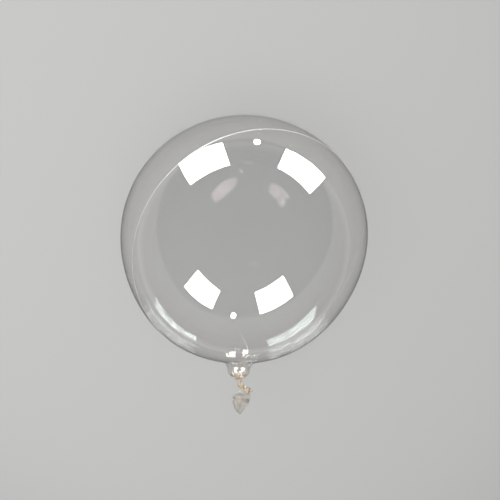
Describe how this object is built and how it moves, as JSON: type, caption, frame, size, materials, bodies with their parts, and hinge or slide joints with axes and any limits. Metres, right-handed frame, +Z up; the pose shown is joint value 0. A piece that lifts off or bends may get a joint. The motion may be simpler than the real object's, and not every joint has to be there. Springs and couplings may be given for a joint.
{
  "type": "clear bubble balloon",
  "caption": "Air-filled clear film balloon, near-round, lying on its side, drawn down by a funnel into a small bulb, a twisted and knotted neck and a crumpled tail.",
  "frame": {"origin": "middle of the small flat that the balloon rests on when it lies loose", "axes": "+Z up, +Y from the neck to the crown along the balloon's long axis, +X to the right of that seen from above"},
  "size_m": [0.2784, 0.3543, 0.2786],
  "materials": {
    "clear_film": "clear thin stretched plastic film, glossy and colourless, tan where the neck is twisted tight"
  },
  "bodies": {
    "root": {"film_balloon": "clear_film"}
  },
  "joints": []
}
